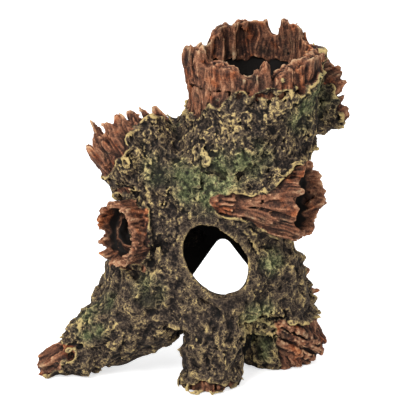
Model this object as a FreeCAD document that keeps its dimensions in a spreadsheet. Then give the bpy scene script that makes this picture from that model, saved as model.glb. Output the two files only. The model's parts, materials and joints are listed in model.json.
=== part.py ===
"""Hollow cast-resin cave ornament in the shape of a torn, branching tree stump.

The ornament is a set of separate castings bonded together: a trunk in three rings, five broken
branch stubs and three roots. Rings meet in half-wall rebates, and stubs and roots sit on saddles
cut to the trunk's surface, located by spigots or pegs in bored sockets.

Millimetres, +Z up. The ground is z = 0 and the origin is the centre of the bounding box's base.
"""

import FreeCAD, Part
import math
import os

from FreeCAD import Placement, Rotation, Vector

doc = FreeCAD.newDocument("cave_ornament")
sheet = doc.addObject("Spreadsheet::Sheet", "Dimensions")
rows_used = [0]


def cell(alias, value):
    """Writes one driving dimension into the sheet under its alias."""
    rows_used[0] += 1
    row = rows_used[0]
    sheet.set("A%d" % row, alias)
    sheet.set("B%d" % row, "%g" % value)
    sheet.setAlias("B%d" % row, alias)


def dim(alias):
    """A driving dimension, read back from the sheet."""
    return float(sheet.get(alias))


# ---------------------------------------------------------------- driving dimensions
SINGLE = {
    "wall": 6.0,  # trunk shell thickness
    "stub_wall": 5.0,  # thickness of the hollow branch stubs
    "floor": 4.0,  # thickness of a stub's closed base, above the trunk's surface
    "bond_gap": 0.15,  # room for adhesive round each spigot and lip
    "bed_gap": 0.05,  # adhesive bed between a stub or root and the surface it sits on
    "skirt_base": 45.0,  # height of the trunk's open lower edge
    "waist": 150.0,  # joint between the two trunk rings
    "collar": 205.0,  # joint between the upper trunk and the crown
    "lip_height": 5.0,  # depth of the rebate joints
    "window_long": 27.5,  # half length of the slanting front window
    "window_short": 18.9,  # half width of the same
    "window_x": 13.8,
    "window_z": 90.6,
    "window_slant": 56.0,  # degrees, high end to the left
    "arch_apex_x": 20.0,
    "arch_apex_z": 79.5,
    "arch_apex_radius": 6.0,
    "arch_left": -19.0,  # the arch's feet, below the skirt's lower edge
    "arch_right": 66.0,
    "arch_overshoot": 20.0,  # how far the arch's cutter runs below the skirt
    "arch_start": 14.0,  # the arch's cutter runs backwards from here
    "arch_depth": 80.0,
    "window_start": 90.0,  # the window's cutter runs backwards from here
    "window_depth": 75.0,
    "blank_top": 255.0,  # height of the crown before its rim is torn
    "waste_reach": 75.0,  # how far a rim's waste reaches out from the mouth's centre
    "waste_height": 60.0,  # and past the mouth
    "slab_side": 400.0,  # side of the slabs that divide the trunk, wider than the ornament
    "centre_x": -2.0,  # centre of the bounding box, moved to the origin at the end
    "centre_y": 4.4,
}

# Each limb is a loft through ellipses: centre x, y, z, then the half axes. The first half axis
# lies along the limb's side vector, and sections stand square to the limb's path.
LIMBS = {
    "trunk": {
        "side": (1, 0, 0),
        "level": True,
        "stations": [
            (2, 3, 33, 73, 48),
            (2, 3, 52, 69, 46),
            (2, 3, 80, 62, 45),
            (4, 2, 110, 57, 43),
            (17, 1, 138, 55, 42),
            (31, 1, 164, 47.5, 42),
            (39, 2, 188, 44, 42.5),
            (39.5, 3, 208, 45.5, 44),
            (38.5, 3, 228, 47.5, 44.5),
            (38.5, 3, 255, 48, 44.5),
        ],
    },
    "left_branch": {
        "side": (0.9, 0.0, 0.44),
        "level": False,
        "stations": [
            (-6, -2, 108, 27, 26),
            (-23, 1, 136, 29, 28),
            (-37, 5, 157, 31.5, 29),
            (-48, 9, 175, 34, 29),
            (-58, 13, 194, 36, 29),
        ],
    },
    "left_knot": {
        "side": (0, 0, 1),
        "level": False,
        "stations": [
            (-22, -8, 106, 18, 16),
            (-40, -22, 107, 20, 18),
            (-55, -34, 108, 22.5, 20.5),
            (-64, -41, 108.5, 23.5, 21),
        ],
    },
    "right_branch": {
        "side": (0, 0, 1),
        "level": False,
        "stations": [
            (2, -31, 133, 8, 7.5),
            (24, -28, 132, 15.5, 15),
            (46, -28, 131, 22, 19.5),
            (70, -32, 130.5, 27, 22),
            (96, -41, 129, 29, 24),
        ],
    },
    "rear_branch": {
        "side": (0, 0, 1),
        "level": False,
        "stations": [
            (52, 8, 172, 17, 17),
            (74, 17, 181, 20, 19),
            (93, 24, 190, 22.5, 20),
            (110, 29, 195, 23.5, 20),
        ],
    },
    "rear_knot": {
        "side": (0, 0, 1),
        "level": False,
        "stations": [
            (46, 20, 42, 13, 13),
            (61, 33, 41, 15, 14),
            (75, 46, 40, 17, 15),
            (85, 55, 39, 18, 16),
        ],
    },
    "left_root": {
        "side": (-0.6, 0, 0.8),
        "level": False,
        "stations": [
            (-30, -3, 56, 33.5, 33),
            (-50.5, -6, 33, 28.2, 28),
            (-71, -10, 20, 21.5, 20),
            (-89, -15, 10.5, 14.5, 14),
            (-103, -18.5, 8.5, 10, 9),
            (-110, -20, 8, 5, 4.5),
        ],
    },
    "centre_root": {
        "side": (1, 0, 0),
        "level": True,
        "stations": [
            (9, -27, 84, 19, 14),
            (11.5, -31, 60, 21.5, 17),
            (12, -33, 36, 21.5, 17),
            (10.5, -34, 14, 20, 16.5),
            (10, -34, -6, 18.5, 15.5),
        ],
    },
    "right_root": {
        "side": (1, 0, 0),
        "level": True,
        "stations": [
            (41, -4, 98, 21, 21),
            (51, 3, 68, 25.5, 25),
            (55.5, 9, 38, 27.5, 27),
            (58, 13, 14, 28, 27),
            (59, 14, -6, 27, 26),
        ],
    },
    "right_toe": {
        "side": (0.55, 0, 0.83),
        "level": False,
        "stations": [
            (52, 0, 44, 17, 16),
            (68, -1, 29, 18, 16),
            (77, 2, 18, 14.5, 13),
            (86, 4, 10, 9.5, 8.5),
        ],
    },
}

# Broken rims: limb, then (degrees round the rim, height above the mouth's reference plane).
# Degrees run from the side vector towards the limb's own up or front vector.
RIMS = {
    "crown": [
        (0, -10), (14, -9), (25, -8.3), (32, -6), (36, 2), (43, 5), (47, 3), (50, 6.5), (54, 6.5),
        (58, -2), (61, -5), (68, -4.5), (72, -1), (76, 5.5), (82, 6.5), (90, 6.5), (100, 4.5),
        (108, 4), (118, 3), (126, 0.5), (130, -2), (134, -9), (142, -12), (155, -12), (168, -12),
        (180, -12), (188, -7.5), (195, -5), (204, -1.5), (212, 0), (217, -2.5), (221, -12),
        (232, -12.5), (242, -12.5), (248, -13), (254, -14), (260, -20), (269, -20.5), (274, -14),
        (279, -9.5), (282, -12), (286, -20), (290, -17.5), (298, -13), (303, -14.5), (310, -11),
        (320, -9), (335, -8.5), (350, -9),
    ],
    "left_branch": [
        (0, -18), (14, -12), (30, -5), (44, 1), (56, -3), (70, 2), (84, 5), (98, -2), (112, 1),
        (126, 6), (138, -3), (152, -6), (166, -2), (178, -3), (190, 1), (198, -1), (208, -3),
        (222, 2), (234, 11), (242, 15), (250, 9), (256, 5), (264, 5), (270, 9.5), (286, 7),
        (296, 7), (303, 9.5), (311, 4), (318, 0), (325, 4.5), (332, -3), (340, -9), (350, -16),
    ],
    "left_knot": [
        (0, -1), (16, 2), (34, -2), (52, 1), (72, 4), (90, 0), (110, -4), (126, 2), (146, 4),
        (164, 0), (182, 3), (202, -1), (222, 1), (244, -2), (266, -1), (288, -2), (312, 0),
        (338, -2),
    ],
    "right_branch": [
        (0, -7), (14, -4), (28, -3), (42, -7), (56, 3), (70, -4), (84, 0), (100, -1), (116, -3),
        (130, 2), (146, 3), (160, 1), (174, -3), (190, -1), (204, 4), (218, 1), (232, 5),
        (246, 3), (258, 6), (270, 5), (284, 3), (298, -3), (312, -1), (328, -6), (344, -4),
    ],
    "rear_branch": [
        (0, 0), (18, 2), (34, 5), (52, 2), (70, 4), (92, -5), (110, -1), (132, 1), (152, -3),
        (172, 0), (192, -2), (214, 1), (236, -2), (258, 3), (280, 3), (300, -2), (320, 1),
        (342, 4),
    ],
    "rear_knot": [
        (0, 1), (20, 4), (38, -3), (60, 0), (84, 2), (106, -3), (130, 1), (156, -2),
        (180, 3), (206, 0), (228, -3), (252, 2), (276, 5), (300, 5), (322, 7), (342, 2),
    ],
}

# The mouth's reference plane: a point on the limb's path, the direction the mouth faces, and the
# rim's mean radius.
MOUTHS = {
    "crown": {"at": (38.5, 3, 235), "faces": (0, 0, 1), "side": (1, 0, 0), "radius": 43},
    "left_branch": {
        "at": (-48, 8, 172), "faces": (-0.42, 0.3, 0.86), "side": (0.9, 0.05, 0.43), "radius": 31,
    },
    "left_knot": {
        "at": (-55, -34, 108), "faces": (-0.77, -0.63, 0.04), "side": (0, 0, 1), "radius": 19,
    },
    "right_branch": {
        "at": (77, -34, 130.5), "faces": (0.88, -0.44, -0.16), "side": (0, 0, 1), "radius": 24,
    },
    "rear_branch": {
        "at": (98, 26, 190), "faces": (0.92, 0.3, 0.26), "side": (0, 0, 1), "radius": 20,
    },
    "rear_knot": {
        "at": (77, 47.8, 40), "faces": (0.74, 0.67, -0.05), "side": (0, 0, 1), "radius": 14,
    },
}

# Spigots of the hollow stubs: where each starts and ends, its radius and the radius of its bore.
SPIGOTS = {
    "left_branch": {"start": (-38.6, 3.7, 154.6), "end": (-26, 1.8, 136.6), "radius": 19.0, "bore": 14.5},
    "left_knot": {"start": (-53.1, -32.5, 107.8), "end": (-34.4, -17.4, 106.6), "radius": 13.0, "bore": 9.5},
    "right_branch": {"start": (65.6, -32.4, 130.8), "end": (42, -25, 131.5), "radius": 12.0, "bore": 8.5},
    "rear_branch": {"start": (88.3, 22.8, 186.8), "end": (71, 15.7, 179.7), "radius": 12.0, "bore": 8.5},
    "rear_knot": {"start": (70, 42, 34), "end": (55, 28, 34), "radius": 8.0, "bore": 4.5},
}

# Solid locating pegs between the roots and the trunk's skirt.
PEGS = {
    "left_root": {"start": (-65, -1, 39), "end": (-64.2, -1, 49.5), "radius": 1.8},
    "centre_root": {"start": (11, -46, 53), "end": (11, -37.5, 53), "radius": 3.5},
    "right_root": {"start": (76, 6, 51), "end": (65, 5, 51), "radius": 3.5},
}


def write_sheet():
    """Writes every driving dimension into the sheet."""
    for alias, value in SINGLE.items():
        cell(alias, value)
    for limb, facts in LIMBS.items():
        for i, station in enumerate(facts["stations"]):
            for letter, value in zip(("px", "py", "pz", "major", "minor"), station):
                cell("%s_%s_%d" % (limb, letter, i), value)
    for rim, outline in RIMS.items():
        for i, (angle, height) in enumerate(outline):
            cell("%s_angle_%d" % (rim, i), angle)
            cell("%s_height_%d" % (rim, i), height)
    for rim, mouth in MOUTHS.items():
        cell(rim + "_rim_radius", mouth["radius"])
    for owner, facts in list(SPIGOTS.items()) + list(PEGS.items()):
        cell(owner + "_length", (Vector(*facts["end"]) - Vector(*facts["start"])).Length)
        cell(owner + "_radius", facts["radius"])
        if "bore" in facts:
            cell(owner + "_bore", facts["bore"])
    doc.recompute()


GAP = "Dimensions.bond_gap"  # the adhesive's room, as a sheet formula


# ---------------------------------------------------------------- building blocks
def path_direction(points, i, level):
    """The limb's direction at one station."""
    if level:
        return Vector(0, 0, 1)
    before, after = points[max(i - 1, 0)], points[min(i + 1, len(points) - 1)]
    return (after - before).normalize()


def limb(name, source, thinner=None):
    """A solid loft through the source limb's ellipses, thinned all round by a sheet formula."""
    facts = LIMBS[source]
    points = [Vector(*station[:3]) for station in facts["stations"]]
    less = " - (%s)" % thinner if thinner else ""
    sections = []
    for i in range(len(points)):
        ring = doc.addObject("Part::Ellipse", "%s_ring_%d" % (name, i))
        along = path_direction(points, i, facts["level"])
        ring.Placement = Placement(points[i], Rotation(Vector(*facts["side"]), Vector(), along, "ZXY"))
        for axis in "xyz":
            ring.setExpression("Placement.Base." + axis, "Dimensions.%s_p%s_%d" % (source, axis, i))
        ring.setExpression("MajorRadius", "Dimensions.%s_major_%d%s" % (source, i, less))
        ring.setExpression("MinorRadius", "Dimensions.%s_minor_%d%s" % (source, i, less))
        sections.append(ring)
    loft = doc.addObject("Part::Loft", name)
    loft.Sections = sections
    loft.Solid = True
    loft.Ruled = False
    return loft


def cut(name, base, *tools):
    """The base with each tool taken away in turn."""
    for i, tool in enumerate(tools):
        last = i == len(tools) - 1
        made = doc.addObject("Part::Cut", name if last else "%s_step_%d" % (name, i))
        made.Base, made.Tool = base, tool
        base = made
    return base


def common(name, first, second):
    """The space two solids share."""
    made = doc.addObject("Part::MultiCommon", name)
    made.Shapes = [first, second]
    return made


def fuse(name, *shapes):
    """Several solids as one."""
    made = doc.addObject("Part::MultiFuse", name)
    made.Shapes = list(shapes)
    return made


def slab(name, low, high):
    """A block wider than the ornament between two heights, each a sheet formula."""
    block = doc.addObject("Part::Box", name)
    block.setExpression("Length", "Dimensions.slab_side")
    block.setExpression("Width", "Dimensions.slab_side")
    block.setExpression("Height", "(%s) - (%s)" % (high, low))
    block.setExpression("Placement.Base.x", "-Dimensions.slab_side / 2")
    block.setExpression("Placement.Base.y", "-Dimensions.slab_side / 2")
    block.setExpression("Placement.Base.z", low)
    return block


def rod(name, owner, size, room=None):
    """The owner's spigot, peg or bore: a cylinder whose radius is one of its sheet values."""
    facts = SPIGOTS.get(owner) or PEGS[owner]
    start, end = Vector(*facts["start"]), Vector(*facts["end"])
    made = doc.addObject("Part::Cylinder", name)
    made.Placement = Placement(start, Rotation(Vector(0, 0, 1), end - start))
    made.setExpression("Height", "Dimensions.%s_length" % owner)
    radius = "Dimensions.%s_%s" % (owner, size)
    made.setExpression("Radius", "%s + %s" % (radius, room) if room else radius)
    return made


def rim_cutter(name, rim):
    """The waste beyond a torn rim: a fan of facets from the mouth's centre to its outline."""
    mouth = MOUTHS[rim]
    frame = Rotation(Vector(*mouth["side"]), Vector(), Vector(*mouth["faces"]), "ZXY")
    count = len(RIMS[rim])
    heights = [dim("%s_height_%d" % (rim, i)) for i in range(count)]
    mean = sum(heights) / count
    reach = dim("waste_reach")
    low, high = [], []
    for i in range(count):
        turn = math.radians(dim("%s_angle_%d" % (rim, i)))
        out = Vector(math.cos(turn), math.sin(turn), 0) * reach
        low.append(out + Vector(0, 0, mean + (heights[i] - mean) * reach / dim(rim + "_rim_radius")))
        high.append(out + Vector(0, 0, dim("waste_height")))
    middle = Vector(0, 0, mean)
    faces = []
    for i in range(count):
        j = (i + 1) % count
        faces.append(Part.Face(Part.makePolygon([middle, low[j], low[i], middle])))
        faces.append(Part.Face(Part.makePolygon([low[i], low[j], high[j], high[i], low[i]])))
    faces.append(Part.Face(Part.makePolygon(high + [high[0]])))
    solid = Part.makeSolid(Part.makeShell(faces))
    if solid.Volume < 0:
        solid.reverse()
    made = doc.addObject("Part::Feature", name)
    made.Shape = solid
    made.Placement = Placement(Vector(*mouth["at"]), frame)
    return made


def front_window():
    """The slanting oval window's cutter: an ellipse in front of the trunk, extruded inwards."""
    ring = doc.addObject("Part::Ellipse", "front_window_outline")
    upright = Rotation(Vector(1, 0, 0), 90)
    slant = Rotation(Vector(0, 1, 0), dim("window_slant"))
    ring.Placement = Placement(Vector(0, 0, 0), slant * upright)
    ring.setExpression("Placement.Base.x", "Dimensions.window_x")
    ring.setExpression("Placement.Base.y", "-Dimensions.window_start")
    ring.setExpression("Placement.Base.z", "Dimensions.window_z")
    ring.setExpression("MajorRadius", "Dimensions.window_long")
    ring.setExpression("MinorRadius", "Dimensions.window_short")
    cutter = doc.addObject("Part::Extrusion", "front_window")
    cutter.Base = ring
    cutter.DirMode = "Custom"
    cutter.Dir = Vector(0, 1, 0)
    cutter.setExpression("LengthFwd", "Dimensions.window_depth")
    cutter.Solid = True
    return cutter


def rear_arch():
    """The arch between the trunk's rear edges: two slanting sides and a rounded apex."""
    radius = dim("arch_apex_radius")
    centre = Vector(dim("arch_apex_x"), 0, dim("arch_apex_z") - radius)
    low = dim("skirt_base") - dim("arch_overshoot")
    left = Vector(dim("arch_left"), 0, low)
    right = Vector(dim("arch_right"), 0, low)
    ends = []
    for corner, turn in ((left, 1), (right, -1)):
        lean = (centre - corner).normalize()
        ends.append(centre + Vector(-lean.z * turn, 0, lean.x * turn) * radius)
    edges = [
        Part.LineSegment(left, ends[0]).toShape(),
        Part.Arc(ends[0], centre + Vector(0, 0, radius), ends[1]).toShape(),
        Part.LineSegment(ends[1], right).toShape(),
        Part.LineSegment(right, left).toShape(),
    ]
    made = doc.addObject("Part::Feature", "rear_arch")
    made.Shape = Part.Face(Part.Wire(edges)).extrude(Vector(0, dim("arch_depth"), 0))
    made.Placement = Placement(Vector(0, dim("arch_start"), 0), Rotation())
    return made


# ---------------------------------------------------------------- the castings
def trunk_ring(name, bodies, low, high, lip_at=None, rebate_at=None, rim=None):
    """One ring of the trunk's shell, with a rebate lip below and its seat above."""
    ring = common(name + "_blank", bodies["outer"], slab(name + "_zone", low, high))
    drop = "Dimensions.lip_height"
    if rim:
        ring = cut(name + "_torn", ring, rim_cutter(name + "_waste", rim))
    if lip_at:
        zone = slab(name + "_lip_zone", "%s - %s" % (lip_at, drop), lip_at + " + Dimensions.wall")
        ring = fuse(name + "_lipped", ring, common(name + "_lip", bodies["lip"], zone))
    ring = cut(name + "_hollowed", ring, bodies["inner"])
    if rebate_at:
        zone = slab(name + "_rebate_zone", "%s - %s" % (rebate_at, drop), rebate_at + " + Dimensions.wall")
        ring = cut(name + "_rebated", ring, common(name + "_rebate", bodies["half"], zone))
    return ring


def stub(name, seats, floors):
    """A hollow branch stub: saddle, torn rim, closed base, spigot and through bore."""
    body = cut(name + "_saddle", limb(name + "_outer", name), *seats)
    body = cut(name + "_torn", body, rim_cutter(name + "_waste", name))
    hollow = cut(name + "_hollow_trimmed", limb(name + "_hollow", name, "Dimensions.stub_wall"), *floors)
    body = cut(name + "_opened", body, hollow)
    spigot = rod(name + "_spigot", name, "radius")
    spigot = cut(name + "_spigot_trimmed", spigot, hollow)
    body = fuse(name + "_spigoted", body, spigot)
    return cut(name + "_part", body, rod(name + "_bore", name, "bore"))


def build():
    """Every casting, by its name."""
    bodies = {
        "outer": limb("trunk_outer", "trunk"),
        "inner": limb("trunk_inner", "trunk", "Dimensions.wall"),
        "half": limb("trunk_half", "trunk", "Dimensions.wall / 2"),
        "lip": limb("trunk_lip_outer", "trunk", "Dimensions.wall / 2 + Dimensions.bond_gap"),
    }
    base, waist, collar = ("Dimensions." + alias for alias in ("skirt_base", "waist", "collar"))
    top = "Dimensions.blank_top"
    core = trunk_ring("trunk_core", bodies, base, waist, rebate_at=waist)
    upper = trunk_ring("upper_trunk", bodies, waist, collar, lip_at=waist, rebate_at=collar)
    crown = trunk_ring("stump_crown", bodies, collar, top, lip_at=collar, rim="crown")

    seat = limb("trunk_seat", "trunk", "-Dimensions.bed_gap")
    trunk = common("trunk_solid", seat, slab("above_skirt", base, top))
    trunk_floor = limb("trunk_floor", "trunk", "-Dimensions.floor")
    right_floor = limb("right_root_floor", "right_root", "-Dimensions.floor")
    right_seat = limb("right_root_seat", "right_root", "-Dimensions.bed_gap")
    parts = {"trunk_core": core, "upper_trunk": upper, "stump_crown": crown}
    for name in ("left_branch", "left_knot", "right_branch", "rear_branch"):
        parts[name] = stub(name, [trunk], [trunk_floor])
    parts["rear_knot"] = stub("rear_knot", [trunk, right_seat], [trunk_floor, right_floor])

    above_ground = slab("above_ground", "0", waist)
    window = front_window()
    centre_space = limb("centre_space", "centre_root", "-Dimensions.bed_gap")
    for name in ("left_root", "centre_root", "right_root"):
        body = limb(name + "_outer", name)
        if name == "right_root":
            body = fuse("right_root_and_toe", body, limb("right_toe_outer", "right_toe"))
            body = cut("right_root_clear", body, centre_space)
        body = cut(name + "_saddle", body, trunk, window)
        body = common(name + "_grounded", body, above_ground)
        if name == "right_root":
            body = cut("right_root_socketed", body, rod("rear_knot_socket", "rear_knot", "radius", GAP))
        parts[name] = fuse(name + "_part", body, rod(name + "_peg", name, "radius"))

    tools = [window, rear_arch()]
    for name in ("left_branch", "left_knot", "right_branch", "left_root", "centre_root", "right_root"):
        tools.append(rod(name + "_socket", name, "radius", GAP))
    parts["trunk_core"] = cut("trunk_core_part", core, *tools)
    tools = [rod(name + "_upper_socket", name, "radius", GAP) for name in ("left_branch", "rear_branch")]
    parts["upper_trunk"] = cut("upper_trunk_part", upper, *tools)
    return parts


write_sheet()
castings = build()
doc.recompute()

failed = [o.Name for o in doc.Objects if "Invalid" in o.State or "Error" in o.State]
if failed:
    raise RuntimeError("features failed: %s" % ", ".join(failed))

for name, part in castings.items():
    part.Label = name
    part.setExpression("Placement.Base.x", "-Dimensions.centre_x")
    part.setExpression("Placement.Base.y", "-Dimensions.centre_y")
doc.recompute()

for name, part in castings.items():
    shape = part.Shape
    if shape.isNull() or not shape.isValid() or len(shape.Solids) != 1:
        raise RuntimeError("%s is not one valid solid" % name)

os.makedirs("parts", exist_ok=True)
for name, part in castings.items():
    part.Shape.exportStep("parts/%s.step" % part.Label)
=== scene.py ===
import json
import math
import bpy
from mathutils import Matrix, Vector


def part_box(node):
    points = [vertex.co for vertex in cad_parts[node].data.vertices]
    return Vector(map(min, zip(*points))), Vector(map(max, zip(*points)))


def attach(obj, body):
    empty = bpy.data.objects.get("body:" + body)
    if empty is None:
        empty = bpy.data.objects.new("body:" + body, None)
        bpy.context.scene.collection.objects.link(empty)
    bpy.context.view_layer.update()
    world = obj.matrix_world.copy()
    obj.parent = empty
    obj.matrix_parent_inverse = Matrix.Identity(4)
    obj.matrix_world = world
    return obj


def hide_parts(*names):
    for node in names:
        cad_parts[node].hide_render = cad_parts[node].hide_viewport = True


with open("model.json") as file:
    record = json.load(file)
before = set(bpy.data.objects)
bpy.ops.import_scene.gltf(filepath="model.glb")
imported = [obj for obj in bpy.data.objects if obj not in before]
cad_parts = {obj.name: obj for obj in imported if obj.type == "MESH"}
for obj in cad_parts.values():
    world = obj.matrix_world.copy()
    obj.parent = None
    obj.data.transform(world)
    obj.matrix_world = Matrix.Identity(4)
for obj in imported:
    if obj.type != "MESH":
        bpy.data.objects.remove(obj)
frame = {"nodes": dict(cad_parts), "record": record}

from concurrent.futures import ThreadPoolExecutor

import bpy
import numpy as np
import openvdb as vdb
from mathutils import Vector

# Lengths here are millimetres in the CAD frame until a mesh is written, which is in metres.
MM = 0.001
VOXEL = 0.8  # side of one cell of the sculpting grid
REACH = 9.0  # how far from its surface each node's distance field is known
BAND = 7.0  # how far from the surface the sculpting works
BLEND = 7.0  # width of the fillets where limbs grow out of the trunk
TUCK = 1.2  # how far each casting runs under its neighbour
SINK = 0.12  # and how far below the neighbour's surface
CAP = 4.5  # the sculpted distance is kept within this
SHARE = 3.0  # over what distance one limb's grain gives way to the next
MINOR = 0.03  # a limb with a smaller share than this is left out
CHUNK = 250000  # points worked on at a time
FOOT = np.array([2.0, -4.4, 0.0], np.float32)  # trunk's foot axis, from which the features are measured

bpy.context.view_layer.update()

TRUNK = ("trunk_core", "upper_trunk", "stump_crown")
STUBS = ("left_branch", "left_knot", "right_branch", "rear_branch", "rear_knot")
ROOTS = ("left_root", "centre_root", "right_root")
NODES = TRUNK + STUBS + ROOTS

# The way the grain runs along each casting, and where a stub's rim begins, measured from FOOT.
GRAIN = {
    "trunk_core": (0.12, 0.0, 1.0),
    "upper_trunk": (0.2, 0.0, 1.0),
    "stump_crown": (0.0, 0.0, 1.0),
    "left_branch": (-0.5, 0.2, 0.84),
    "left_knot": (-0.77, -0.63, 0.05),
    "right_branch": (0.97, -0.25, -0.02),
    "rear_branch": (0.9, 0.28, 0.32),
    "rear_knot": (0.74, 0.67, -0.05),
    "left_root": (-0.85, -0.2, -0.42),
    "centre_root": (0.0, -0.06, -1.0),
    "right_root": (0.5, 0.1, -0.8),
    "right_toe": (0.68, 0.15, -0.72),
}
MOUTH = {
    "stump_crown": (38.5, 3, 228),
    "left_branch": (-48, 8, 172),
    "left_knot": (-55, -34, 108),
    "right_branch": (77, -34, 130.5),
    "rear_branch": (98, 26, 190),
    "rear_knot": (77, 47.8, 40),
}


# ---------------------------------------------------------------- small tools
def unit(v):
    """The direction of a vector."""
    v = np.asarray(v, np.float32)
    return v / np.linalg.norm(v)


def ramp(x, low, high):
    """0 below low, 1 above high, smooth between; low may be the larger."""
    t = np.clip((x - low) / (high - low), 0.0, 1.0)
    return t * t * (3.0 - 2.0 * t)


def smooth_min(a, b, width):
    h = np.maximum(width - np.abs(a - b), 0.0) / width
    return np.minimum(a, b) - h * h * width * 0.25


def spot(p, centre, radius):
    """1 at a place, falling to 0 at the radius."""
    d = np.sqrt(((p - np.asarray(centre, np.float32)) ** 2).sum(1))
    return ramp(d, radius, 0.0)


TILE = 64
WAVES = 7.0


def noise_tile(seed):
    """A cube of repeating noise with about WAVES waves each way."""
    rng = np.random.default_rng(seed)
    spectrum = np.fft.rfftn(rng.standard_normal((TILE, TILE, TILE)))
    f = np.fft.fftfreq(TILE, 1 / TILE)
    g = np.fft.rfftfreq(TILE, 1 / TILE)
    radius = np.sqrt(f[:, None, None] ** 2 + f[None, :, None] ** 2 + g[None, None, :] ** 2)
    spectrum[(radius < WAVES * 0.7) | (radius > WAVES * 1.4)] = 0
    tile = np.fft.irfftn(spectrum, s=(TILE, TILE, TILE))
    return (tile / tile.std()).astype(np.float32).ravel()


NOISE = [noise_tile(seed) for seed in range(6)]


def noise(which, q, wave):
    """Smooth noise of standard deviation 1, with the given wavelength, or one for each axis."""
    s = q * (TILE / WAVES / np.asarray(wave, np.float32))
    i = np.floor(s)
    f = (s - i).astype(np.float32)
    i = i.astype(np.int32) & (TILE - 1)
    j = (i + 1) & (TILE - 1)
    x = (i[:, 0] * (TILE * TILE), j[:, 0] * (TILE * TILE))
    y = (i[:, 1] * TILE, j[:, 1] * TILE)
    z = (i[:, 2], j[:, 2])
    tile = NOISE[which % len(NOISE)]
    total = 0.0
    for a in (0, 1):
        fx = f[:, 0] if a else 1 - f[:, 0]
        for b in (0, 1):
            fxy = fx * (f[:, 1] if b else 1 - f[:, 1])
            base = x[a] + y[b]
            total = total + fxy * (tile[base + z[0]] * (1 - f[:, 2]) + tile[base + z[1]] * f[:, 2])
    return total


def soft(n, limit=2.0):
    """Noise held within a limit."""
    return limit * np.tanh(n / limit)


def crest(n, width=0.5):
    """A network of narrow raised lines where noise crosses zero."""
    return np.maximum(0.0, 1.0 - np.abs(n) / width)


# ---------------------------------------------------------------- the CAD as distance fields
def node_mesh(name):
    """The CAD node's points, in millimetres, and its triangles."""
    mesh = frame["nodes"][name].data
    mesh.calc_loop_triangles()
    points = np.empty(len(mesh.vertices) * 3, np.float32)
    mesh.vertices.foreach_get("co", points)
    corners = np.empty(len(mesh.loop_triangles) * 3, np.int32)
    mesh.loop_triangles.foreach_get("vertices", corners)
    return points.reshape(-1, 3) / MM, corners.reshape(-1, 3).astype(np.uint32)


box_lo = np.min([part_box(n)[0] for n in NODES], axis=0) / MM
box_hi = np.max([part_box(n)[1] for n in NODES], axis=0) / MM
grid_lo = np.floor((box_lo - 7.0) / VOXEL).astype(int)
grid_size = np.ceil((box_hi + 7.0) / VOXEL).astype(int) - grid_lo
scale = vdb.createLinearTransform(voxelSize=VOXEL)


def distance_block(name):
    """The node's signed distance on the cells around it, with the block's first cell."""
    points, triangles = node_mesh(name)
    level = vdb.FloatGrid.createLevelSetFromPolygons(
        points, triangles=triangles, transform=scale, halfWidth=REACH / VOXEL
    )
    margin = REACH / VOXEL
    first = np.maximum(np.floor(points.min(0) / VOXEL - margin).astype(int), grid_lo)
    last = np.minimum(np.ceil(points.max(0) / VOXEL + margin).astype(int), grid_lo + grid_size)
    block = np.full(last - first, REACH, np.float32)
    level.copyToArray(block, ijk=[int(v) for v in first])
    return block, first


with ThreadPoolExecutor(4) as pool:
    BLOCKS = dict(zip(NODES, pool.map(distance_block, NODES)))

union = np.full(grid_size, REACH, np.float32)
for block, first in BLOCKS.values():
    a = first - grid_lo
    b = a + block.shape
    part = union[a[0]:b[0], a[1]:b[1], a[2]:b[2]]
    np.minimum(part, block, out=part)


def sample_block(block, first, p):
    """The block's value at points, between cells, and REACH outside it."""
    s = p / VOXEL - first
    shape = np.array(block.shape)
    inside = ((s >= 0) & (s < shape - 1.001)).all(1)
    out = np.full(len(p), REACH, np.float32)
    s = s[inside]
    i = s.astype(np.int32)
    f = (s - i).astype(np.float32)
    flat = block.ravel()
    sx, sy = shape[1] * shape[2], shape[2]
    base = i[:, 0] * sx + i[:, 1] * sy + i[:, 2]
    total = 0.0
    for a in (0, 1):
        fx = f[:, 0] if a else 1 - f[:, 0]
        for b in (0, 1):
            fxy = fx * (f[:, 1] if b else 1 - f[:, 1])
            k = base + (sx if a else 0) + (sy if b else 0)
            total = total + fxy * (flat[k] * (1 - f[:, 2]) + flat[k + 1] * f[:, 2])
    out[inside] = total
    return out


# ---------------------------------------------------------------- how open each place is to the outside
COARSE = 4


def openness_field():
    """On a coarse grid, the share of 26 directions in which a place sees out of the ornament."""
    solid = union[::COARSE, ::COARSE, ::COARSE] < 0
    empty = (~solid).astype(np.float32)
    padded = np.pad(empty, 1, constant_values=1)
    total = np.zeros_like(padded)
    directions = [
        (x, y, z) for x in (-1, 0, 1) for y in (-1, 0, 1) for z in (-1, 0, 1) if (x, y, z) != (0, 0, 0)
    ]
    for d in directions:
        axis = next(k for k in range(3) if d[k])
        seen = np.ones_like(padded)
        moved = np.moveaxis(seen, axis, 0)
        clear = np.moveaxis(padded, axis, 0)
        others = [d[k] for k in range(3) if k != axis]
        count = moved.shape[0]
        order = range(count - 2, -1, -1) if d[axis] > 0 else range(1, count)
        for k in order:
            n = k + d[axis]
            beyond = moved[n] * clear[n]
            shifted = np.ones_like(beyond)
            src = [slice(max(o, 0), beyond.shape[m] + min(o, 0)) for m, o in enumerate(others)]
            dst = [slice(max(-o, 0), beyond.shape[m] + min(-o, 0)) for m, o in enumerate(others)]
            shifted[dst[0], dst[1]] = beyond[src[0], src[1]]
            moved[k] = shifted
        total += seen
    total = total[1:-1, 1:-1, 1:-1] / len(directions)
    weight = empty.copy()
    value = total * empty
    for _ in range(3):
        for axis in range(3):
            value = value + 0.5 * (np.roll(value, 1, axis) + np.roll(value, -1, axis))
            weight = weight + 0.5 * (np.roll(weight, 1, axis) + np.roll(weight, -1, axis))
    return (value / np.maximum(weight, 1e-6)).astype(np.float32)


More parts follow.
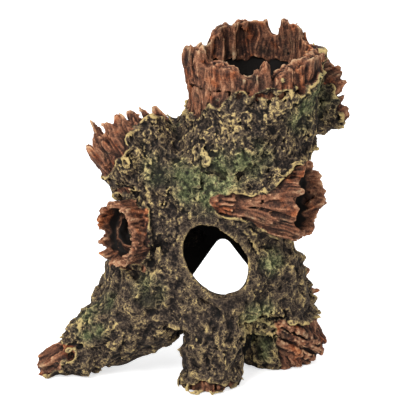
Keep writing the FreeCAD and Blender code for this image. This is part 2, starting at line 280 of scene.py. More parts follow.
OPEN = openness_field()


def openness(p):
    """The openness field at points, between its cells."""
    s = (p / VOXEL - grid_lo) / COARSE
    s = np.clip(s, 0, np.array(OPEN.shape) - 1.001)
    i = s.astype(np.int32)
    f = (s - i).astype(np.float32)
    total = 0.0
    for a in (0, 1):
        for b in (0, 1):
            for c in (0, 1):
                w = f[:, 0] if a else 1 - f[:, 0]
                w = w * (f[:, 1] if b else 1 - f[:, 1])
                w = w * (f[:, 2] if c else 1 - f[:, 2])
                total = total + w * OPEN[i[:, 0] + a, i[:, 1] + b, i[:, 2] + c]
    return total


def trunk_profile():
    """Rows of height, centre x and y, and half widths of the trunk, measured from FOOT."""
    points = np.concatenate([node_mesh(name)[0] for name in TRUNK]) - FOOT
    rows = []
    for z in np.arange(48.0, 232.0, 6.0):
        slab = points[np.abs(points[:, 2] - z) < 5]
        if len(slab) > 60:
            lo, hi = slab.min(0), slab.max(0)
            middle, half = (lo + hi) / 2, (hi - lo) / 2
            rows.append((z, middle[0], middle[1], half[0], half[1]))
    return np.array(rows)


PROFILE = trunk_profile()
HALF_WALL = 3.0


def trunk_radius(q):
    """1 in the middle of the trunk's wall, less inside it and more outside."""
    z = q[:, 2]
    cx, cy, a, b = (np.interp(z, PROFILE[:, 0], PROFILE[:, k]) for k in (1, 2, 3, 4))
    return np.sqrt(((q[:, 0] - cx) / (a - HALF_WALL)) ** 2 + ((q[:, 1] - cy) / (b - HALF_WALL)) ** 2)


WINDOW = {"x": 13.8, "z": 90.6, "long": 27.5, "short": 18.9, "slant": math.radians(56)}
ARCH = {"x": 20.0, "z": 79.5, "left": 0.745, "right": 0.85}  # apex, and how far each side leans


def calm(q):
    """1 at the edges of the front window and the rear arch, which are smoother than the bark."""
    x, y, z = q[:, 0] - WINDOW["x"], q[:, 1], q[:, 2] - WINDOW["z"]
    c, d = math.cos(WINDOW["slant"]), math.sin(WINDOW["slant"])
    e = np.sqrt(((z * d - x * c) / WINDOW["long"]) ** 2 + ((z * c + x * d) / WINDOW["short"]) ** 2)
    front = ramp(np.abs(e - 1.0), 0.35, 0.1) * (y < 0)
    x, z = q[:, 0] - ARCH["x"], ARCH["z"] - q[:, 2]
    left = np.abs(x + z * ARCH["left"]) / math.hypot(1, ARCH["left"])
    right = np.abs(x - z * ARCH["right"]) / math.hypot(1, ARCH["right"])
    rear = ramp(np.minimum(left, right), 9, 3) * (y > 20) * (z > -10) * (z < 40)
    return np.maximum(front, rear)


# ---------------------------------------------------------------- what is wood, moss, black inside or painted shade
CROWN_EDGE = (  # degrees round the crown, height where bark gives way to torn wood
    (-180, 184), (-150, 187), (-123, 199), (-110, 206), (-85, 208), (-60, 210), (-50, 204), (-35, 211),
    (-22, 216), (0, 222), (40, 217), (90, 204), (140, 194), (180, 184),
)
RIGHT_TOP = ((8, 130), (10, 135.5), (24, 139.5), (46, 139), (51, 144.5), (65, 156), (79, 160), (100, 162))
RIGHT_LOW = ((8, 134), (10, 130), (17, 124), (31, 122.5), (46, 112), (55, 105), (100, 90))


def along(name, q):
    """Distance past the mouth's plane along the grain, and distance from the grain's line."""
    v = q - np.asarray(MOUTH[name], np.float32)
    a = unit(GRAIN[name])
    t = v @ a
    r = np.sqrt(np.maximum((v * v).sum(1) - t * t, 0))
    return t, r


NOWHERE = -50.0  # a depth that is far outside the torn wood


def table(x, rows):
    return np.interp(x, *zip(*rows))


def crown_wood(q, wobble):
    """The crown above its ragged edge in the bark, and all of the inside of its wall."""
    x, y, z = q[:, 0], q[:, 1], q[:, 2]
    turn = np.degrees(np.arctan2(y - 3, x - 39))
    depth = np.where((x > -14) & (x < 90), z - table(turn, CROWN_EDGE) + 1.3 * wobble, NOWHERE)
    depth = np.where((x > 80) & (z < 226) & (y > 3), NOWHERE, depth)
    return np.where((z > 200) & (trunk_radius(q) < 1.0), -NOWHERE, depth)


def left_branch_wood(q, wobble):
    """The torn face on the left branch's left, and everything inside and behind its rim."""
    x, y, z = q[:, 0], q[:, 1], q[:, 2]
    face = np.minimum(-46 - x + 0.25 * (z - 165), (x + 62) * -0.78 + (z - 142) * 0.63)
    face = np.where((z > 135) & (x < -30), face + wobble, NOWHERE)
    t, r = along("left_branch", q)
    inside = np.where((x < -8) & (z > 140), np.minimum(27 - r, t + 26), NOWHERE)
    back = np.where((x < -8) & (z > 140) & (y > 16), t + 9 + wobble, NOWHERE)
    rim = np.where((x < -18) & (z > 165), np.minimum(t + 5, 40 - r) + wobble, NOWHERE)
    return np.maximum(np.maximum(face, rim), np.maximum(inside, back))


def right_branch_wood(q, wobble):
    """The pointed tear along the right branch, and the inside of its mouth."""
    x, y, z = q[:, 0], q[:, 1], q[:, 2]
    tear = np.minimum(table(x, RIGHT_TOP) - z, z - table(x, RIGHT_LOW))
    tear = np.minimum(tear, x - 8.5) + 0.5 * wobble
    tear = np.where(y < -8, tear, NOWHERE)
    t, r = along("right_branch", q)
    inside = np.where((x > 50) & (y < 0) & (z > 96) & (z < 166), np.minimum(24 - r, t + 20), NOWHERE)
    return np.maximum(tear, inside)


def stub_wood(q, wobble):
    """The torn ends of the two knots and the rear branch."""
    x, y, z = q[:, 0], q[:, 1], q[:, 2]
    t, r = along("left_knot", q)
    depth = np.where((r < 30) & (x < -30) & (z > 80) & (z < 136), t + 15.5 + wobble, NOWHERE)
    t, r = along("rear_branch", q)
    rear = np.where((x > 70) & (y > 0) & (r < 34) & (z > 150), t + 8 + wobble, NOWHERE)
    depth = np.maximum(depth, rear)
    t, r = along("rear_knot", q)
    return np.maximum(depth, np.where((r < 24) & (y > 24) & (z < 66), t + 13 + wobble, NOWHERE))


def root_wood(q, wobble):
    """The worn tips of the left and centre roots, and the right root's splintered toe."""
    x, y, z = q[:, 0], q[:, 1], q[:, 2]
    left = np.where(z < 24, -97 - x + 0.9 * (z - 8) + 2 * wobble, NOWHERE)
    tip = (q - np.array((9, -42, 3), np.float32)) * np.array((0.45, 0.6, 1.0), np.float32)
    centre = np.where(y < -24, 7 - np.linalg.norm(tip, axis=1) + wobble, NOWHERE)
    toe = np.minimum(x - 57 + 0.15 * (z - 20), 41 - z - 0.25 * (x - 57))
    right = np.where(y < 26, np.minimum(toe, z + 2) + 0.6 * wobble, NOWHERE)
    return np.maximum(np.maximum(left, centre), right)


def wood_depth(q):
    """Millimetres into the torn wood: positive in wood, negative in bark. q is measured from FOOT."""
    wobble = 1.6 * noise(2, q, 11.0)
    depth = crown_wood(q, wobble)
    for part in (left_branch_wood, right_branch_wood, stub_wood, root_wood):
        depth = np.maximum(depth, part(q, wobble))
    return depth


MOSS = (  # where green is sprayed on: place measured from FOOT, radius, strength
    ((3, -39, 144), 27, 1.2), ((16, -41, 151), 24, 1.1), ((36, -41, 162), 20, 1.1),
    ((-25, -25, 150), 17, 0.8), ((81, -13, 202), 20, 1.4), ((72, -26, 188), 20, 1.2),
    ((78, -15, 216), 15, 1.2), ((-70, -20, 38), 19, 1.6), ((-58, -18, 50), 15, 1.2),
    ((43, -32, 46), 20, 1.4), ((46, -14, 20), 18, 1.2), ((52, -23, 84), 15, 1.1),
    ((-31, -36, 69), 17, 0.9), ((-10, -32, 148), 18, 0.8), ((13, -41, 135), 18, 0.9),
    ((-12, 0, 170), 12, 0.9), ((84, 10, 190), 20, 1.0), ((30, 40, 120), 34, 0.9),
    ((-36, 34, 60), 26, 0.8), ((60, 36, 80), 24, 0.9), ((50, 44, 180), 26, 0.8),
)


def moss_amount(q):
    """How much green paint there is, 0 to 1."""
    total = 0.0
    for centre, radius, strength in MOSS:
        total = total + strength * spot(q, centre, radius)
    return np.clip(total * (0.75 + 0.35 * noise(4, q, 16.0)), 0, 1)


# ---------------------------------------------------------------- surface relief
LEDGE = 212.0  # height of the ragged ledge inside the crown
CAVE = (5.0, 20.0)  # the middle of the space between the roots
INNER = {"left_branch": 27, "left_knot": 16, "right_branch": 21, "rear_branch": 16, "rear_knot": 11}  # bores


def black_inside_and_shade_amount(q, normal, seen):
    """1 on the smooth black inside of the shell. It is also 1 where a place sees little of the outside:
    painted shade.
    """
    radius = trunk_radius(q)
    ledge = LEDGE + 2.2 * noise(3, q, 9.0)
    shell = ramp(radius, 1.0, 0.95) * ramp(q[:, 2], ledge + 0.7, ledge - 0.7)
    inward = np.stack([CAVE[0] - q[:, 0], CAVE[1] - q[:, 1]], 1)
    inward /= np.maximum(np.linalg.norm(inward, axis=1), 1e-6)[:, None]
    facing = (inward * normal[:, :2]).sum(1) - 0.3 * normal[:, 2]
    under = ramp(radius, 1.04, 0.98) * ramp(facing, 0.1, 0.4)
    black_inside_and_shade = np.where(q[:, 2] > 46, shell, under)
    for name, inner in INNER.items():
        v = q - np.asarray(MOUTH[name], np.float32)
        t = v @ unit(GRAIN[name])
        v = v - t[:, None] * unit(GRAIN[name])
        r = np.linalg.norm(v, axis=1)
        facing = -(v * normal).sum(1) / np.maximum(r, 1e-6)
        depth = ramp(t + 1.5 * noise(3, q, 8.0), -4.0, -8.0) * (t > -45)
        black_inside_and_shade = np.maximum(black_inside_and_shade, ramp(r, inner + 5, inner) * depth * ramp(facing, 0.0, 0.35) * (radius > 1.0))
    # painted shade: a place that sees little of the outside is painted black, as if in shadow
    return np.maximum(black_inside_and_shade, ramp(seen, 0.15, 0.08))


def axes_of(name):
    """Rows of three unit axes, the last along the grain."""
    a = unit(GRAIN[name])
    helper = np.array((0, 0, 1) if abs(a[2]) < 0.8 else (1, 0, 0), np.float32)
    b = unit(np.cross(helper, a))
    return np.stack([b, np.cross(a, b), a]).astype(np.float32)


AXES = {name: axes_of(name) for name in GRAIN}


def limb_coords(name, q):
    """Across, across and along the grain."""
    c = q @ AXES[name].T
    if name == "right_root":  # its splinters run down the toe
        toe = ramp(q[:, 0], 52, 60)[:, None] * ramp(q[:, 2], 46, 38)[:, None]
        c = np.where(toe > 0.5, q @ AXES["right_toe"].T, c)
    if name == "right_branch":  # its fibres fan out from the pointed end
        o = np.asarray((8, -34, 132), np.float32) @ AXES[name].T
        c = c - o
        spread = 22.0 / np.clip(c[:, 2:3] * 0.36 + 5, 6, 40)
        c = np.concatenate([c[:, :2] * spread, c[:, 2:3]], 1)
    return c


def roughness(q):
    """The bark is crusty on the upper trunk and finer on the roots."""
    return 0.6 + 0.5 * ramp(q[:, 2], 105, 165)


RIDGES = (  # raised or sunk strips: points along each, measured from FOOT, half width, height
    (((-31.5, -25.6, 150), (-31.0, -26.5, 136), (-29.7, -29.0, 124)), 2.4, 2.0),
    (((-23.6, -26.3, 146), (-22.2, -32.5, 128)), 2.0, 1.2),
    (((-33.1, -27.4, 127), (-32.1, -38.8, 112), (-31.8, -33.6, 93)), 2.6, 2.4),
    (((-16.8, -32.0, 138), (-12.8, -38.8, 112), (-20.3, -38.0, 98)), 2.4, -1.6),
    (((0.3, -31.0, 168), (2.0, -32.0, 161)), 3.0, 1.8),
    (((4.5, -34.5, 166), (7.0, -36.0, 158)), 2.8, 1.6),
    (((-3.5, -25.0, 173), (-1.0, -27.0, 166)), 2.6, 1.5),
    (((24.0, -39.0, 185), (31.0, -39.8, 181)), 2.6, 1.5),
    (((12.0, -38.0, 178), (16.0, -39.0, 171)), 2.6, 1.3),
    (((30.0, -40.2, 172), (38.0, -40.2, 167)), 2.6, 1.3),
    (((45.0, -46.0, 138.5), (52.8, -44.5, 146), (62.1, -39.0, 154), (72.0, -20.0, 158)), 3.0, 2.2),
    (((47.0, -39.8, 189), (58.2, -36.7, 198), (68.2, -31.0, 205)), 4.5, 2.2),
    (((68.2, -31.0, 205), (76.4, -22.8, 213), (80.6, -16.8, 222)), 4.5, 2.2),
    (((27.0, -37.8, 116), (38.0, -32.2, 107), (45.0, -27.3, 93), (49.3, -26.1, 80)), 3.0, 2.0),
    (((-29.5, -36.5, 81), (-24.4, -38.0, 83), (-19.5, -38.5, 81)), 1.6, 1.6),
    (((-29.0, -36.5, 77), (-24.4, -38.0, 75.5), (-19.5, -38.5, 78)), 1.4, 1.4),
    (((-67.6, -16.4, 43), (-79.0, -17.0, 36), (-89.0, -19.0, 28)), 6.0, 1.8),
    (((-64.0, -25.0, 31), (-73.0, -24.0, 27), (-88.0, -24.0, 16)), 2.2, -1.8),
    (((-36.8, -17.4, 186), (-30.2, -12.9, 190), (-23.6, -14.0, 180)), 4.5, 2.0),
    (((58.0, -20.0, 40), (70.0, -18.0, 33), (85.0, -8.0, 20)), 2.6, 3.0),
    (((59.0, -18.0, 31), (73.0, -14.9, 24), (88.0, -4.7, 12)), 2.4, 2.8),
    (((60.0, -16.0, 22), (72.0, -12.0, 14), (84.0, -3.0, 5)), 2.4, 2.4),
    (((58.5, -19.0, 35.5), (71.5, -16.5, 28.5), (86.5, -6.5, 16)), 1.4, -2.6),
    (((59.5, -17.0, 26.5), (72.5, -13.5, 19), (86.0, -4.0, 8.5)), 1.4, -2.6),
    (((30.5, -41.0, 52), (32.5, -38.5, 38), (30.5, -41.0, 26)), 2.2, -2.0),
    (((38.0, -33.0, 45), (47.0, -30.0, 44), (60.0, -22.0, 44)), 5.0, -2.4),
    (((38.0, -22.0, 36), (50.0, -18.0, 36), (62.0, -12.0, 38)), 7.0, 3.0),
)


def ridge_relief(q):
    """Height added by the strips, and 1 where a strip is raised."""
    height = np.zeros(len(q), np.float32)
    raised = np.zeros(len(q), np.float32)
    for path, width, lift in RIDGES:
        for start, end in zip(path, path[1:]):
            a, b = np.asarray(start, np.float32), np.asarray(end, np.float32)
            reach = np.linalg.norm(b - a) / 2 + width + 4
            near = np.flatnonzero(((q - (a + b) / 2) ** 2).sum(1) < reach ** 2)
            if not len(near):
                continue
            v = q[near] - a
            t = np.clip(v @ (b - a) / ((b - a) ** 2).sum(), 0, 1)
            d = np.linalg.norm(v - t[:, None] * (b - a), axis=1) / width
            d = d + 0.16 * noise(3, q[near], 6.0) + 0.1 * noise(4, q[near], 2.8)
            shape = ramp(d, 1.35, 0.75)
            best = np.abs(lift * shape) > np.abs(height[near])
            height[near[best]] = (lift * shape)[best]
            raised[near] = np.maximum(raised[near], shape * (lift > 0))
    return height, raised


def bark_relief(c, q):
    """Height of the bark: lumps, furrows along the limb, a net of crusty ridges, and pits."""
    bent = c + 1.1 * np.stack([noise(5, q, 9.0), noise(0, q, 9.0), noise(1, q, 9.0)], 1)
    lumps = 1.0 * soft(noise(0, q, 30.0)) + 0.8 * soft(noise(1, q, 12.0))
    furrow = soft(noise(3, bent, (8.5, 8.5, 17.0)))
    flakes = crest(noise(4, bent, (12.0, 12.0, 30.0)), 0.35) * ramp(noise(5, q, 42.0), -0.9, 0.4)
    net = crest(noise(2, bent, (5.6, 5.6, 8.5)), 0.45)
    fine = crest(noise(4, bent, (2.7, 2.7, 3.8)), 0.7)
    pits = ramp(noise(5, c, (3.8, 3.8, 5.2)), 0.8, 1.9)
    crust = 0.75 * net + 0.35 * fine - 1.3 * pits + 1.2 * flakes
    height = lumps + 0.55 * furrow + roughness(q) * crust - 0.4
    return height, net, fine


def wood_relief(c, q):
    """Height of the torn wood: flutes and grooves along the grain."""
    c = c + 0.8 * np.stack([noise(5, q, 24.0), noise(0, q, 24.0), 0 * q[:, 0]], 1)
    flute = soft(noise(1, c, (8.5, 8.5, 70.0)))
    groove = crest(noise(3, c, (4.4, 4.4, 44.0)), 0.8)
    hair = soft(noise(0, c, (2.3, 2.3, 18.0)))
    knots = soft(noise(2, q, 6.0))
    height = 1.0 * flute + 0.7 * groove + 0.2 * hair + 0.2 * knots - 0.6
    return height, groove, hair


def evaluate(p):
    """What the surface is made of at points, each node's distance there, and the blended distance."""
    q = p - FOOT
    warp = 1.3 * soft(np.stack([noise(0, q, 34.0), noise(1, q, 34.0), noise(2, q, 34.0)], 1), 1.6)
    still = calm(q)
    warp *= (1 - still)[:, None]
    wood = wood_depth(q)
    woody = ramp(wood, -0.5, 0.6)
    moved = p + warp * (1 - 0.6 * woody[:, None])
    dist = np.full((len(NODES), len(p)), REACH, np.float32)
    for k, name in enumerate(NODES):
        block, first = BLOCKS[name]
        lo = first * VOXEL
        hi = (first + block.shape) * VOXEL
        near = np.flatnonzero(((moved > lo) & (moved < hi)).all(1))
        if not len(near):
            continue
        at = moved[near]
        if name in MOUTH:
            c = limb_coords(name, q[near])
            t = along(name, q[near])[0]
            rim = ramp(t, -16.0, -2.0) * woody[near]
            wave = (9.5, 9.5, 60.0) if name in ("stump_crown", "left_branch") else (12.0, 12.0, 60.0)
            slip = 1.2 + 1.4 * soft(noise(4, c, wave)) + 0.2 * soft(noise(5, c, (4.2, 4.2, 40.0)))
            at = at + (rim * slip)[:, None] * unit(GRAIN[name])
            found = sample_block(block, first, at) + 0.8 * ramp(t, -7.0, 6.0)
        else:
            found = sample_block(block, first, at)
        dist[k, near] = found
    whole = dist[:3].min(0)
    for k in range(3, len(NODES)):
        whole = smooth_min(whole, dist[k], BLEND)
    return q, wood, woody, still, dist, whole


def sculpt(p, gradient):
    """The distance to the sculpted surface, and each node's own distance. The gradient points outward."""
    q, wood, woody, still, dist, whole = evaluate(p)
    seen = openness(p + gradient * (3.0 - whole)[:, None])
    black_inside_and_shade = black_inside_and_shade_amount(q, gradient, seen)
    weight = np.exp(-(dist - dist.min(0)) / SHARE)
    weight[dist > REACH - 0.5] = 0
    weight /= np.maximum(weight.sum(0), 1e-9)
    bark = np.zeros(len(p), np.float32)
    timber = np.zeros(len(p), np.float32)
    for k, name in enumerate(NODES):
        near = np.flatnonzero((weight[k] > MINOR) & (np.abs(whole) < BAND))
        if not len(near):
            continue
        c = limb_coords(name, q[near])
        bark[near] += weight[k, near] * bark_relief(c, q[near])[0]
        timber[near] += weight[k, near] * wood_relief(c, q[near])[0]
    lip = 1.5 * ramp(wood, -7.0, -0.6)
    height = (bark + lip) * (1 - woody) + timber * woody
    height = height * (1 - 0.93 * black_inside_and_shade) * (1 - 0.6 * still)
    # the crown's torn lining ends in a ragged ledge inside the cup
    ledge = LEDGE + 2.2 * noise(3, q, 9.0)
    lining = ramp(trunk_radius(q), 1.0, 0.94) * ramp(q[:, 2], ledge - 0.7, ledge + 0.7)
    lining *= ramp(gradient[:, 2], 0.7, 0.3)
    strips = ridge_relief(q)[0] * (1 - black_inside_and_shade) * np.where(q[:, 2] > 165, 1 - woody, 1)
    height = height + 2.2 * lining + strips
    return np.clip(np.maximum(whole - height, -p[:, 2]), -CAP, CAP), dist  # flat on the ground


def in_chunks(function, *arrays):
    """Runs a function over long arrays a part at a time, four at once."""
    count = len(arrays[0])
    cuts = list(range(0, count, CHUNK)) + [count]
    jobs = [tuple(a[cuts[k]:cuts[k + 1]] for a in arrays) for k in range(len(cuts) - 1)]
    with ThreadPoolExecutor(4) as pool:
        return list(pool.map(lambda job: function(*job), jobs))


band = np.flatnonzero(np.abs(union) < BAND)
ny, nz = grid_size[1], grid_size[2]
flat = union.ravel()
gradient = np.stack([
    flat[np.minimum(band + step, flat.size - 1)] - flat[np.maximum(band - step, 0)]
    for step in (ny * nz, nz, 1)
], 1)
gradient /= np.maximum(np.linalg.norm(gradient, axis=1), 1e-6)[:, None]
cells = np.stack(np.unravel_index(band, union.shape), 1)
places = ((cells + grid_lo) * VOXEL).astype(np.float32)
results = in_chunks(sculpt, places, gradient)
form = np.clip(union, -CAP, CAP)
form.ravel()[band] = np.concatenate([r[0] for r in results])
owner_distance = np.concatenate([r[1] for r in results], 1)
del results


# ---------------------------------------------------------------- smoothed copies, for hollows and ridges
def box_blur(field, radius):
    """The mean over a cube that reaches radius cells each way."""
    for axis in range(3):
        total = np.cumsum(np.moveaxis(field, axis, 0), axis=0, dtype=np.float32)
        n = total.shape[0]
        hi = np.minimum(np.arange(n) + radius, n - 1)
        lo = np.arange(n) - radius - 1
        out = total[hi] - np.where((lo >= 0)[:, None, None], total[np.maximum(lo, 0)], 0)
        count = hi - np.maximum(lo, -1)
        out /= count[:, None, None]
        field = np.moveaxis(out, 0, axis)
    return np.ascontiguousarray(field)


clipped = np.clip(form, -3, 3)
blur_fine = box_blur(clipped, 1)
blur_wide = box_blur(clipped, 4)


# ---------------------------------------------------------------- one closed mesh for each casting
flat_solid = []
for name in NODES:
    block, first = BLOCKS[name]
    a = first - grid_lo
    b = a + block.shape
    mask = np.zeros(union.shape, bool)
    mask[a[0]:b[0], a[1]:b[1], a[2]:b[2]] = block < -BAND
    flat_solid.append(np.flatnonzero(mask))


def piece_mesh(name):
    k = NODES.index(name)
    block, first = BLOCKS[name]
    a = first - grid_lo
    b = a + block.shape
    others = np.delete(owner_distance, k, axis=0).min(0)
    side = np.clip((owner_distance[k] - others) / 2, -CAP, CAP)
    field = np.full(union.size, CAP, np.float32)
    field[flat_solid[k]] = -CAP
    field[band] = side
    field = field.reshape(union.shape)[a[0]:b[0], a[1]:b[1], a[2]:b[2]]
    local = form[a[0]:b[0], a[1]:b[1], a[2]:b[2]] + SINK * ramp(field, 0.0, 0.6)
    local = np.maximum(local, field - TUCK)
    grid = vdb.FloatGrid(CAP)
    grid.copyFromArray(np.ascontiguousarray(local, np.float32), ijk=[int(v) for v in first])
    grid.transform = scale
    points, triangles, quads = grid.convertToPolygons(isovalue=0.0, adaptivity=0.0)
    return without_crumbs(np.asarray(points, np.float32), np.asarray(triangles), np.asarray(quads))


def without_crumbs(points, triangles, quads):
    """The casting's one large closed surface, without loose crumbs or buried bubbles."""
    label = np.arange(len(points))
    kinds = [faces for faces in (triangles, quads) if len(faces)]
    ends = np.concatenate([
        np.stack([faces[:, k], np.roll(faces, -1, axis=1)[:, k]], 1)
        for faces in kinds for k in range(faces.shape[1])
    ]).astype(np.int64)
    while True:
        low = label[ends].min(1)
        lower = label.copy()
        np.minimum.at(lower, label[ends[:, 0]], low)
        np.minimum.at(lower, label[ends[:, 1]], low)
        lower = lower[lower]
        if (lower == label).all():
            break
        label = lower
    keep = label == np.bincount(label).argmax()
    moved = np.cumsum(keep) - 1
    faces = [moved[face[keep[face[:, 0]]]] if len(face) else face for face in (triangles, quads)]
    return points[keep], *faces


def build_mesh(name, points, triangles, quads):
    """A smooth-shaded Blender mesh, in metres."""
    mesh = bpy.data.meshes.new(name)
    mesh.vertices.add(len(points))
    mesh.vertices.foreach_set("co", (points * MM).astype(np.float32).ravel())
    loops = np.concatenate([np.asarray(triangles).ravel(), np.asarray(quads).ravel()]).astype(np.int32)
    mesh.loops.add(len(loops))
    mesh.loops.foreach_set("vertex_index", loops)
    sizes = np.concatenate([np.full(len(triangles), 3), np.full(len(quads), 4)])
    starts = np.concatenate([[0], np.cumsum(sizes)[:-1]]).astype(np.int32)
    mesh.polygons.add(len(sizes))
    mesh.polygons.foreach_set("loop_start", starts)
    mesh.update(calc_edges=True)
    mesh.validate()
    mesh.shade_smooth()
    return mesh


def paint(mesh, points):
    """Writes on each point what the paint needs to know."""
    normals = np.empty(len(points) * 3, np.float32)
    mesh.vertices.foreach_get("normal", normals)
    normals = normals.reshape(-1, 3)

    def facts(p, n):
        q, wood, woody, still, dist, whole = evaluate(p)
        weight = np.exp(-(dist - dist.min(0)) / SHARE)
        weight /= weight.sum(0)
        net = np.zeros(len(p), np.float32)
        fine = np.zeros(len(p), np.float32)
        groove = np.zeros(len(p), np.float32)
        for k, name in enumerate(NODES):
            near = np.flatnonzero(weight[k] > MINOR)
            if not len(near):
                continue
            c = limb_coords(name, q[near])
            _, b1, b2 = bark_relief(c, q[near])
            _, w1, w2 = wood_relief(c, q[near])
            net[near] += weight[k, near] * b1
            fine[near] += weight[k, near] * b2
            groove[near] += weight[k, near] * w1
        seen = openness(p + n * 3.0)
        black_inside_and_shade = black_inside_and_shade_amount(q, n, seen)
        edge = np.exp(-((wood + 1.2) / 0.9) ** 2) * (0.15 + 0.85 * ramp(noise(1, q, 8.0), -0.6, 0.7))
        raised = ridge_relief(q)[1] * (1 - woody)
        return {
            "wood": woody, "moss": moss_amount(q), "black_inside_and_shade": black_inside_and_shade, "net": net, "fine": fine,
            "groove": groove, "edge": edge, "raised": raised, "crust": roughness(q),
            "ridge": sample_block(blur_fine, grid_lo, p), "swell": sample_block(blur_wide, grid_lo, p),
        }

    results = in_chunks(facts, points, normals)
    for key in results[0]:
        values = np.concatenate([r[key] for r in results]).astype(np.float32)
        attribute = mesh.attributes.new(key, "FLOAT", "POINT")
        attribute.data.foreach_set("value", values)


pieces = {}
for name in NODES:
    points, triangles, quads = piece_mesh(name)
    mesh = build_mesh(name + "_cast", points, triangles, quads)
    paint(mesh, points)
    pieces[name] = bpy.data.objects.new(name + "_cast", mesh)
    bpy.context.scene.collection.objects.link(pieces[name])


# ---------------------------------------------------------------- paint
class Nodes:
    """Short calls for wiring one material."""

    def __init__(self, material):
        material.use_nodes = True
        self.tree = material.node_tree
        self.tree.nodes.clear()

    def link(self, source, target):
        if isinstance(source, (int, float)):
            target.default_value = source
        elif isinstance(source, tuple):
            opaque = (1.0,) if len(source) < len(target.default_value) else ()
            target.default_value = source + opaque
        else:
            self.tree.links.new(source, target)

    def math(self, kind, a, b=0.0, clamp=False):
        node = self.tree.nodes.new("ShaderNodeMath")
        node.operation = kind
        node.use_clamp = clamp
        self.link(a, node.inputs[0])
        self.link(b, node.inputs[1])
        return node.outputs[0]

    def sum(self, *terms):
        """Adds (value, weight) pairs and plain numbers."""
        total = 0.0
        for term in terms:
            value = self.math("MULTIPLY", term[0], term[1]) if isinstance(term, tuple) else term
            total = self.math("ADD", value, total)
        return total

    def fact(self, name):
        node = self.tree.nodes.new("ShaderNodeAttribute")
        node.attribute_name = name
        return node.outputs["Fac"]

    def noise(self, wave, detail=2.0, stretch=None, roughness=0.6):
        """Noise from 0 to 1 with a wavelength in millimetres, in object space."""
        place = self.tree.nodes.new("ShaderNodeTexCoord").outputs["Object"]
        if stretch:
            mapping = self.tree.nodes.new("ShaderNodeMapping")
            self.link(place, mapping.inputs["Vector"])
            mapping.inputs["Scale"].default_value = stretch
            place = mapping.outputs["Vector"]
        node = self.tree.nodes.new("ShaderNodeTexNoise")
        self.link(place, node.inputs["Vector"])
        node.inputs["Scale"].default_value = 1.0 / (wave * MM)
        node.inputs["Detail"].default_value = detail
        node.inputs["Roughness"].default_value = roughness
        return node.outputs["Fac"]

    def cracks(self, wave, width):
        """1 along the walls of distorted cells a given size across, in millimetres."""
        place = self.tree.nodes.new("ShaderNodeTexCoord").outputs["Object"]
        bend = self.tree.nodes.new("ShaderNodeTexNoise")
        self.link(place, bend.inputs["Vector"])
        bend.inputs["Scale"].default_value = 1.0 / (2.0 * wave * MM)
        shift = self.tree.nodes.new("ShaderNodeVectorMath")
        shift.operation = "MULTIPLY_ADD"
        self.link(bend.outputs["Color"], shift.inputs[0])
        shift.inputs[1].default_value = (1.6 * wave * MM,) * 3
        self.link(place, shift.inputs[2])
        cells = self.tree.nodes.new("ShaderNodeTexVoronoi")
        cells.feature = "DISTANCE_TO_EDGE"
        self.link(shift.outputs[0], cells.inputs["Vector"])
        cells.inputs["Scale"].default_value = 1.0 / (wave * MM)
        return self.range(cells.outputs["Distance"], width, 0.0)

    def ramp(self, value, *stops):
        """A colour ramp through (position, colour) stops."""
        node = self.tree.nodes.new("ShaderNodeValToRGB")
        ramp_stops = node.color_ramp.elements
        while len(ramp_stops) < len(stops):
            ramp_stops.new(0.5)
        for stop, (position, colour) in zip(ramp_stops, stops):
            stop.position = position
            stop.color = tuple(colour) + (1.0,)
        self.link(value, node.inputs["Fac"])
        return node.outputs["Color"]

    def range(self, value, low, high):
        """0 below low, 1 above high, smooth between; low may be the larger."""
        node = self.tree.nodes.new("ShaderNodeMapRange")
        node.interpolation_type = "SMOOTHSTEP"
        self.link(value, node.inputs["Value"])
        node.inputs["From Min"].default_value = low
        node.inputs["From Max"].default_value = high
        return node.outputs["Result"]

    def mix(self, factor, a, b, kind="MIX"):
        node = self.tree.nodes.new("ShaderNodeMix")
        node.data_type = "RGBA"
        node.blend_type = kind
        self.link(factor, node.inputs["Factor"])
        self.link(a, node.inputs[6])
        self.link(b, node.inputs[7])
        return node.outputs[2]


